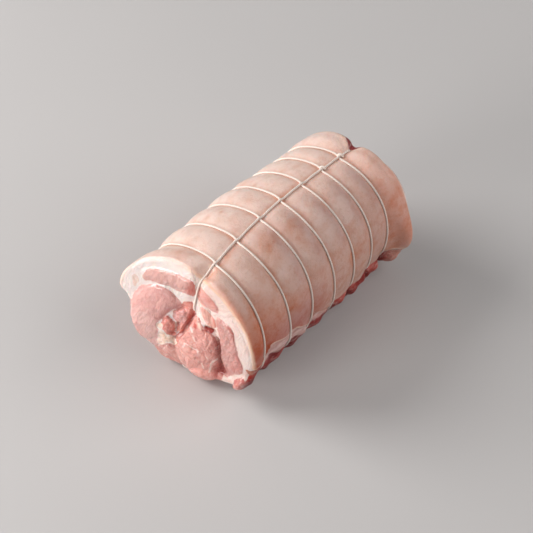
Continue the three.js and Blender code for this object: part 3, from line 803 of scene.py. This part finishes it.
def far_fields(place, phi):
    _, u, z = np.moveaxis(place, -1, 0)
    turned = rise(phi, 0, math.pi / 2)
    covered = side_rind(FAR_END)
    rind = np.minimum(np.minimum(covered, mix(-6, 9, turned)), notch_rind(place))
    in_notch = 5 - 12 * rise(np.abs(u + 1), 7, 13) - 12 * rise(-z, -50, -40)
    flesh = np.maximum(far_flesh(u, z) + rough(place, 8, 1.1), in_notch)
    tone = between(FAR_TONES, rise(rough(place, 20, 3.3), -0.5, 0.5))
    # Darker towards the top of the far face: its own red, deepened with painted shade
    tone = tint(tone, FAR_RED_AND_SHADE, rise(z, 25, 45))
    bare = rise(-covered, 0, 4) * turned
    tone = blend(tone, under_tone(place, covered), bare)
    tone = blend(tone, skin_tone(place), rise(rind, -2, 1))
    return dict(rind=rind, flesh=mix(flesh, UNDER_FLESH, bare), marble=0.4, tone=tone,
                fibre=place * (1, 1, 0.5))


def stained(tone, u, z):
    for stain, strength, width, line in STAINS:
        tone = tint(tone, stain, strength * bell(to_line(u, z, line), width))
    return tone


def near_fields(place, phi):
    x, u, z = np.moveaxis(place, -1, 0)
    turned = phi / (math.pi / 2)
    out = near_base(u, z) - x
    reach = np.hypot(u, z) + 1e-6
    outward = (VIEW_LEAN[0] * u + VIEW_LEAN[1] * z) / (reach * math.hypot(*VIEW_LEAN))
    visible = np.where(out > 0, 1, rise(outward, -0.15, 0.25))
    lean = np.where(phi > 0, visible, 1)
    su, sz = seen(u, z, out * lean)
    muscles = muscle_fields(su, sz)
    rind = -inside_distance(su, sz, RIND_LINE + BELOW_RIND) * mix(0.45, 0.85, rise(u, -5, 15))
    rind = mix(np.maximum(rind, -2) + 10 * turned, rind, np.maximum(lean, phi == 0))
    covered = side_rind(NEAR_END)
    rind = np.minimum(rind, covered)
    bare = rise(-covered, 0, 6) * rise(turned, 0.3, 1)
    tone = blend(stained(muscles.tone, su, sz), under_tone(place, covered), bare)
    yellow = np.max([bell((su - a) ** 2 + (sz - b) ** 2, c**2) for a, b, c in YELLOW_FAT], axis=0)
    return dict(
        rind=rind,
        flesh=mix(muscles.flesh, UNDER_FLESH, bare) - 6 * yellow,
        marble=muscles.marble,
        tone=blend(tone, skin_tone(place), rise(rind, 0, 3)),
        dark=strongest(su, sz, SHADOWS) * (1 - turned),
        yellow=yellow,
        wet=0.9 - 0.6 * turned - 0.7 * rise(rind, -1, 1) * (1 - turned),
        rosy=0.9 * rise(u, -35, 20),
        crease=np.minimum(muscles.creases, to_lines(su, sz, FOLDS)) + 4 * turned,
        vein=to_lines(su, sz, VEINS) + 4 * turned,
        fibre=np.stack([muscles.along * 0.25, muscles.across, x], -1),
    )


def surface_fields(rings, kinds, steps):
    """Everything the material reads, for each vertex of the rings."""
    usual = dict(rind=0, flesh=0, marble=0, dark=0, yellow=0, crease=FAR_OFF, vein=FAR_OFF, wet=0.3,
                 rosy=0.5, tone=(0, 0, 0), fibre=(0, 0, 0))
    fields = {}
    for name, value in usual.items():
        fields[name] = np.full(rings.shape[:2] + np.shape(value), value, float)
    for kind, maker in (("near", near_fields), ("side", side_fields), ("far", far_fields)):
        rows = kinds == kind
        for name, value in maker(rings[rows], steps[rows][:, None]).items():
            fields[name][rows] = value
    return fields


# Meshes

def moved_out(rings, distance):
    """Rings moved along their normals, but never below the table."""
    around = np.roll(rings, -1, 1) - np.roll(rings, 1, 1)
    normal = np.cross(np.gradient(rings, axis=0), around)
    normal = normal / np.maximum(np.linalg.norm(normal, axis=-1, keepdims=True), 1e-9)
    moved = rings + normal * distance[..., None]
    moved[..., 2] = np.maximum(moved[..., 2], TABLE)
    return moved


def add_side_relief(rings, kinds, steps, from_loop):
    """The rind's unevenness, and ragged meat under it. Both fade out where twine lies."""
    free = np.where(kinds == "side", rise(from_loop, 0, 0.12), rise(steps, 0.4, 1.4))
    x = rings[..., 0]
    rind = side_rind(x)
    skin = 0.45 * rough(rings, 24, 1.7) + 0.16 * rough(rings, 9, 6.3)
    skin = skin * (1 - bump(ANGLE, 0, 0.07)) * (1 - 0.7 * rise(x, 84, 98))
    ragged = np.abs(rough(rings * (0.5, 1, 1), 7, 5.1))
    meat = 1.3 * rough(rings, 11, 3.9) + 0.8 * rough(rings, 5, 8.2) - 0.5 - 1.4 * ragged
    calm = mix(0.6, 0.85, rise(x, -10, 10)) * bump(ANGLE, 2, 0.5)
    meat = meat * (1 - bump(ANGLE, np.pi, 0.09)) * (1 - calm)
    relief = mix(meat, skin, rise(rind + strip_width(x), -2, 2))
    edge = 0.7 * fade(x, 84, 98) * bell(rind - 1.5, 2.5) * (1 + rough(rings, 10, 2.7))
    return moved_out(rings, (relief + edge) * free[:, None])


def over_loops(rings):
    """Meat that bulges over the loops below the rind's right edge, towards the far end."""
    x = rings[..., 0]
    low = ANGLE - rind_edges(x)[0]
    bulge = sum(bell(x - loop_x(loop, ANGLE), 6.5) for loop in LOOPS[4:6])
    return moved_out(rings, 3.2 * bulge * rise(low, 0, 0.07) * fade(low, 0.5, 0.8))


def make_object(name, points, faces, material):
    """An object of points in millimetres along the roll, across it and up from its axis."""
    in_row = (points * (1, -1, 1) + AXIS) * MM
    mesh = bpy.data.meshes.new(name)
    mesh.from_pydata(in_row.tolist(), [], faces)
    mesh.polygons.foreach_set("use_smooth", [True] * len(mesh.polygons))
    mesh.materials.append(material)
    mesh.update()
    return add_object(name, mesh)


def add_attribute(made, name, values):
    kinds = {1: ("FLOAT", "value"), 3: ("FLOAT_VECTOR", "vector"), 4: ("FLOAT_COLOR", "color")}
    kind, key = kinds[values.shape[1]]
    attribute = made.data.attributes.new(name, kind, "POINT")
    attribute.data.foreach_set(key, values.astype(np.float32).ravel())


def make_pork(rings, kinds, steps, poles, material):
    near_pole = len(rings) * AROUND
    last = near_pole - AROUND
    after = np.roll(np.arange(AROUND), -1).tolist()
    faces = [(near_pole, after[j], j) for j in range(AROUND)]
    faces += [(near_pole + 1, last + j, last + after[j]) for j in range(AROUND)]
    start = np.arange(0, last, AROUND)[:, None]
    a = (start + np.arange(AROUND)).ravel()
    b = (start + after).ravel()
    faces += np.stack([a, b, b + AROUND, a + AROUND], 1).tolist()
    pork = make_object("pork", np.vstack([rings.reshape(-1, 3), poles]), faces, material)
    for name, value in surface_fields(rings, kinds, steps).items():
        flat = value.reshape(near_pole, -1)
        full = np.vstack([flat, flat[:1], flat[-1:]])
        add_attribute(pork, name, np.c_[full, np.ones(len(full))] if name == "tone" else full)
    return pork


# Twine

TWINE_RADIUS = 1
TWINE_SEAT = 0.85
LOOP_RADIUS = 65  # usual radius of a loop at the top, which turns lengths into angles
TWIST = 7  # length in which the strands turn once
STRANDS = 3
TWINE_STEP = 0.55
TWINE_SIDES = 12
ALONG_ROLL = np.array([1, 0, 0])
ACROSS_ROLL = np.array([0, 1, 0])


def taut_outline(points):
    """The corners that a taut string touches round a ring of (u, z) points."""
    order = sorted(map(tuple, points))

    def half(listed):
        hull = []
        for p in listed:
            while len(hull) > 1:
                a, b = hull[-2:]
                if (b[0] - a[0]) * (p[1] - a[1]) - (b[1] - a[1]) * (p[0] - a[0]) > 0:
                    break
                hull.pop()
            hull.append(p)
        return hull[:-1]

    return np.array(half(order) + half(order[::-1]))


def resample(points, closed=True):
    """A line with corners at even steps along it."""
    loop = np.vstack([points, points[:1]]) if closed else points
    run = np.r_[0, np.cumsum(np.linalg.norm(np.diff(loop, axis=0), axis=1))]
    count = int(run[-1] / TWINE_STEP)
    at = np.linspace(0, run[-1], count if closed else count + 1, endpoint=not closed)
    return np.stack([np.interp(at, run, loop[:, k]) for k in range(loop.shape[1])], 1)


def smoothed(points, passes):
    for _ in range(passes):
        points = (np.roll(points, 1, 0) + 2 * points + np.roll(points, -1, 0)) / 4
    return points


def unit(vectors):
    return vectors / np.linalg.norm(vectors, axis=1, keepdims=True)


def loop_route(loop, ring):
    """A loop round the roll. It ducks under the lengthwise twine with a small sideways step."""
    outline = smoothed(resample(taut_outline(ring[:, 1:])), 12)
    along = unit(np.roll(outline, -1, 0) - np.roll(outline, 1, 0))
    outward = np.c_[along[:, 1], -along[:, 0]]
    angle = np.arctan2(outline[:, 0], outline[:, 1])
    angle = angle - top_line(loop[0]) / LOOP_RADIUS * bump(angle, 0, 0.7)
    under = bell(angle, 0.05) + bell(np.abs(angle) - np.pi, 0.05)
    raised = outline + outward * (TWINE_SEAT - 0.7 * under)[:, None]
    hitch = -1.2 * np.tanh(angle / 0.035) * bell(angle, 0.5)
    wander = 0.35 * rough(np.c_[outline, np.full(len(outline), loop[0])], 30, 4.4)
    return np.c_[loop_x(loop, angle) + hitch + wander, raised]


def lengthwise_route(rings, poles):
    """Along the top, over the far end, back underneath and up the near end."""
    up = rings[:, AROUND // 2].copy()
    down = rings[:, 0].copy()
    on_near = np.arange(len(rings)) < NEAR_RINGS
    up[on_near, 1] = face_twine(up[on_near, 2])
    up[on_near, 0] = near_face(up[on_near, 1], up[on_near, 2])
    height = down[on_near, 2]
    line, depth = crevice(height, NEAR)
    down[on_near, 1] = line
    down[on_near, 0] = near_base(line, height) + depth + 3 * rise(NEAR.pole[1] - height, 0, 5)
    track = smoothed(resample(np.vstack([up, poles[1], down[::-1]])), 60)
    along = np.roll(track, -3, 0) - np.roll(track, 3, 0)
    square = unit(np.c_[-along[:, 2], np.zeros(len(along)), along[:, 0]])
    x, _, z = track.T
    places = np.array([loop_x(loop, 0) for loop in LOOPS])
    crossing = bell(x - places[:, None], 2.6).max(0)
    between_loops = np.interp(x, places, np.arange(len(LOOPS))) % 1
    zigzag = np.where((z > 0) & (x > places[0]) & (x < places[-1]), 0.55 - 1.1 * between_loops, 0)
    sunk = 3.2 * rise(x, 89, 94) * (z > 30)
    raised = track + square * (TWINE_SEAT + 1.1 * crossing - sunk)[:, None]
    raised[:, 1] += smoothed(zigzag, 6)
    return raised


def hitch_route(loop, height):
    """A short bight round the lengthwise twine beside a crossing."""
    turn = np.linspace(-0.75, 0.75, 16) * np.pi
    x = loop_x(loop, 0) + 1.5 + 0.9 * np.sin(turn)
    return resample(np.c_[x, 1.9 * np.sin(turn) + top_line(x), height + 1.7 * np.cos(turn) + 1.2], False)


def strand_tube(route, side, closed=True):
    """A twisted cord of three strands along a route; side is a direction that is never along it."""
    along = unit(np.roll(route, -1, 0) - np.roll(route, 1, 0) if closed else np.gradient(route, axis=0))
    first = unit(np.cross(along, side))
    second = np.cross(along, first)
    steps = len(route)
    turns = round(steps * TWINE_STEP / TWIST)
    rim_angle = TURN * np.arange(TWINE_SIDES) / TWINE_SIDES
    ridge = np.abs(np.cos(STRANDS * rim_angle / 2))
    radius = TWINE_RADIUS * (0.8 + 0.24 * ridge)
    phase = (TURN * turns * np.arange(steps) / steps)[:, None] + rim_angle
    ring = first[:, None] * np.cos(phase)[..., None] + second[:, None] * np.sin(phase)[..., None]
    points = route[:, None] + ring * radius[None, :, None]
    a = np.arange(steps if closed else steps - 1)[:, None] * TWINE_SIDES
    b = (a + TWINE_SIDES) % (steps * TWINE_SIDES)
    j = np.arange(TWINE_SIDES)
    k = (j + 1) % TWINE_SIDES
    faces = np.stack([a + j, b + j, b + k, a + k], -1).reshape(-1, 4).tolist()
    if not closed:
        end = steps * TWINE_SIDES
        faces += [list(range(TWINE_SIDES)), list(range(end - 1, end - TWINE_SIDES - 1, -1))]
    return points.reshape(-1, 3), faces, np.tile(ridge, steps)


def make_twine(rings, kinds, from_loop, poles, material):
    starts = np.flatnonzero((kinds == "side") & (from_loop == 0))
    tubes = [strand_tube(lengthwise_route(rings, poles), ACROSS_ROLL)]
    for loop, row in zip(LOOPS, starts):
        tubes.append(strand_tube(loop_route(loop, rings[row]), ALONG_ROLL))
    for loop, row in list(zip(LOOPS, starts))[-2:]:
        top = rings[row, AROUND // 2, 2] + TWINE_SEAT
        tubes.append(strand_tube(hitch_route(loop, top), ALONG_ROLL, False))
    points, tube_faces, ridges = zip(*tubes)
    faces = []
    first = 0
    for tube_points, listed in zip(points, tube_faces):
        faces += [[corner + first for corner in face] for face in listed]
        first += len(tube_points)
    twine = make_object("string", np.vstack(points), faces, material)
    add_attribute(twine, "ridge", np.concatenate(ridges)[:, None])
    return twine


# Materials

FAT = (248, 232, 226)
FAT_PINK = (238, 208, 198)
FAT_YELLOW = (247, 212, 192)
EDGE_PALE = (240, 210, 199)
EDGE_CREAM = (236, 194, 168)
GAP_SHADE_RED = (150, 22, 20)
CREASE_SHADE_RED = (168, 66, 58)
VEIN = (244, 216, 206)
SKIN_GREY = (196, 160, 154)
TWINE = (253, 240, 230)
TWINE_SHADE_AND_PATCHES = (228, 207, 196)


class Nodes:
    """Short ways to add and link a material's nodes. Each gives the node's output."""

    def __init__(self, name):
        self.material = bpy.data.materials.new(name)
        self.material.use_nodes = True
        self.tree = self.material.node_tree
        self.place = self.add("TexCoord", {}, "Object")

    def add(self, kind, inputs, output=0, **settings):
        node = self.tree.nodes.new("ShaderNode" + kind)
        for key, value in settings.items():
            setattr(node, key, value)
        self.fill(node, inputs)
        return node.outputs[output]

    def fill(self, node, inputs):
        for key, value in inputs.items():
            if isinstance(value, bpy.types.NodeSocket):
                self.tree.links.new(value, node.inputs[key])
            else:
                node.inputs[key].default_value = value

    def field(self, name, output="Fac"):
        return self.add("Attribute", {}, output, attribute_name=name)

    def math(self, operation, a, b=0, c=0):
        return self.add("Math", {0: a, 1: b, 2: c}, operation=operation)

    def noise(self, scale, detail=2, roughness=0.5, vector=None):
        inputs = {"Vector": vector or self.place, "Scale": scale, "Detail": detail, "Roughness": roughness}
        return self.add("TexNoise", inputs, "Fac")

    def smooth(self, value, low, high, to_low=0, to_high=1):
        inputs = {"Value": value, "From Min": low, "From Max": high, "To Min": to_low, "To Max": to_high}
        return self.add("MapRange", inputs, "Result", interpolation_type="SMOOTHSTEP")

    def mix(self, share, *tones):
        """Mixes two colours, each of which is a socket or a tone."""
        a, b = [(*linear(tone), 1) if isinstance(tone, tuple) else tone for tone in tones]
        return self.add("Mix", {"Factor": share, "A": a, "B": b}, "Result", data_type="RGBA")

    def shade(self, tone, saturation, value):
        return self.add("HueSaturation", {"Saturation": saturation, "Value": value, "Color": tone})

    def bumps(self, height, distance):
        return self.add("Bump", {"Height": height, "Distance": distance, "Strength": 1}, "Normal")

    def finish(self, inputs):
        self.fill(self.tree.nodes["Principled BSDF"], inputs)
        return self.material


def pork_material():
    n = Nodes("pork")
    wobble = n.math("SUBTRACT", n.noise(700, 3, 0.6), 0.5)

    def frayed(name, amount):
        return n.math("MULTIPLY_ADD", wobble, amount, n.field(name))

    rind = frayed("rind", 2)
    streak = n.noise(0.42, 4, 0.6, n.field("fibre", "Vector"))
    tone = n.field("tone", "Color")
    meat = meat_colour(n, tone, streak, frayed)
    base = n.mix(n.smooth(frayed("flesh", 2.2), -0.35, 0.35), fat_colour(n), meat)
    # Painted shade: the dark gaps of SHADOWS, deepened to a dark red
    base = n.mix(n.math("MULTIPLY", n.field("dark"), 0.85), base, GAP_SHADE_RED)
    cream = n.mix(n.smooth(n.field("rosy"), 0.2, 0.8), EDGE_PALE, EDGE_CREAM)
    base = n.mix(n.smooth(rind, -1.4, 0.9), base, cream)
    base = n.mix(n.smooth(rind, 0.8, 5), base, skin_colour(n, tone))

    pores = n.add("TexVoronoi", {"Vector": n.place, "Scale": 620, "Randomness": 1}, "Distance")
    skin_height = n.math("MULTIPLY_ADD", n.smooth(pores, 0, 0.35), 0.35, n.noise(260, 4, 0.6))
    meat_height = n.math("MULTIPLY_ADD", streak, 2, n.noise(700, 3, 0.6))
    is_skin = n.smooth(rind, 1, 5)
    height = n.add("Mix", {"Factor": is_skin, "A": meat_height, "B": skin_height}, "Result")
    return n.finish({
        "Base Color": base,
        "Roughness": n.smooth(n.noise(190), 0.35, 0.7, 0.32, 0.5),
        "Subsurface Weight": 0.3,
        "Subsurface Radius": (1, 0.4, 0.25),
        "Subsurface Scale": 0.003,
        "IOR": 1.4,
        "Specular IOR Level": 0.12,
        "Coat Weight": n.field("wet"),
        "Coat Roughness": 0.11,
        "Normal": n.bumps(height, 0.0006),
    })


def fat_colour(n):
    rosy = n.math("MULTIPLY_ADD", n.noise(60), 1.6, n.math("SUBTRACT", n.field("rosy"), 0.9))
    fat = n.mix(n.smooth(rosy, 0, 1), FAT, FAT_PINK)
    return n.mix(n.field("yellow"), fat, FAT_YELLOW)


def meat_colour(n, tone, streak, frayed):
    """Meat with darker and paler streaks along its grain, marbling, painted red shade in its creases and
    white seams.
    """
    meat = n.mix(n.smooth(streak, 0.45, 0.7, 0, 0.5), tone, n.shade(tone, 1.16, 0.8))
    meat = n.mix(n.smooth(streak, 0.3, 0.46, 0.8, 0), meat, n.mix(0.3, tone, VEIN))
    meat = marbled(n, meat)
    # Painted shade: the creases between lumps darkened to a deep red
    meat = n.mix(n.smooth(frayed("crease", 1.4), 0.1, 1, 0.35, 0), meat, CREASE_SHADE_RED)
    return n.mix(n.smooth(frayed("vein", 1.8), 0.5, 1.1, 0.85, 0), meat, VEIN)


def marbled(n, meat):
    """Broken white marbling between the bundles of the meat."""
    drift = n.add("TexNoise", {"Vector": n.place, "Scale": 120}, "Color")
    warped = n.add("VectorMath", {0: drift, 1: (0.008, 0.008, 0.008), 2: n.place}, operation="MULTIPLY_ADD")
    edge = n.add("TexVoronoi", {"Vector": warped, "Scale": 150}, "Distance", feature="DISTANCE_TO_EDGE")
    vein = n.smooth(edge, 0, 0.08, 1, 0)
    vein = n.math("MULTIPLY", vein, n.smooth(n.noise(170), 0.45, 0.6))
    return n.mix(n.math("MULTIPLY", vein, n.field("marble")), meat, VEIN)


def skin_colour(n, tone):
    """The rind, with rosy mottling at two sizes and greyer patches."""
    skin = n.mix(n.smooth(n.noise(95, 4, 0.6), 0.42, 0.68), tone, n.shade(tone, 1.18, 0.94))
    skin = n.mix(n.smooth(n.noise(36), 0.5, 0.75, 0, 0.12), skin, SKIN_GREY)
    brown = n.shade(skin, 1.15, 0.91)
    return n.mix(n.smooth(n.noise(420, 3, 0.65), 0.5, 0.72, 0, 0.6), skin, brown)


def twine_material():
    n = Nodes("twine")
    # Painted shade in the grooves between the strands
    base = n.mix(n.smooth(n.field("ridge"), 0.1, 0.75), TWINE_SHADE_AND_PATCHES, TWINE)
    # Random darker patches of the twine's own tone
    base = n.mix(n.smooth(n.noise(70), 0.45, 0.75, 0, 0.35), base, TWINE_SHADE_AND_PATCHES)
    return n.finish({
        "Base Color": base,
        "Roughness": 0.85,
        "Sheen Weight": 0.25,
        "IOR": 1.4,
        "Normal": n.bumps(n.noise(2600, 3, 0.7), 0.00015),
    })


# Floor and light

FLOOR_TONES = [(196, 193, 192), (202, 199, 198)]
FLOOR_HALF = 6
LIGHTS_AWAY = 2.2
DAYLIGHT = (1, 0.985, 0.97)
SKY = (0.95, 0.97, 1, 1)
SKY_STRENGTH = 0.13


def make_floor():
    n = Nodes("floor")
    base = n.mix(n.noise(3), *FLOOR_TONES)
    corners = [(-1, -1), (1, -1), (1, 1), (-1, 1)]
    mesh = bpy.data.meshes.new("floor")
    mesh.from_pydata([(x * FLOOR_HALF, y * FLOOR_HALF, 0) for x, y in corners], [], [(0, 1, 2, 3)])
    mesh.materials.append(n.finish({"Base Color": base, "Roughness": 0.55}))
    add_object("floor", mesh)


def add_light(name, direction, size, power):
    data = bpy.data.lights.new(name, "AREA")
    data.shape = "DISK"
    data.size = size
    data.energy = power
    data.color = DAYLIGHT
    away = Vector(direction).normalized()
    put_facing(add_object(name, data), away * LIGHTS_AWAY, away)


def make_light():
    add_light("key", (-0.4, 0.76, 0.54), 1.3, 43)
    add_light("front", (-0.9, 0.2, 0.26), 1.1, 27)
    add_light("right", (0.45, -0.65, 0.65), 2, 24)
    world = bpy.data.worlds.new("studio")
    world.use_nodes = True
    sky = world.node_tree.nodes["Background"].inputs
    sky["Color"].default_value = SKY
    sky["Strength"].default_value = SKY_STRENGTH
    bpy.context.scene.world = world
    bpy.context.scene.view_settings.view_transform = "Standard"


(rings, kinds, steps, from_loop), poles = make_rings()
rings = add_side_relief(rings, kinds, steps, from_loop)
pork = make_pork(over_loops(rings), kinds, steps, poles, pork_material())
string = make_twine(rings, kinds, from_loop, poles, twine_material())
for piece, node, slot in ((pork, "rolled_pork", "pork"), (string, "twine", "twine")):
    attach(piece, "root")
    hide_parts(node)
make_floor()
make_light()
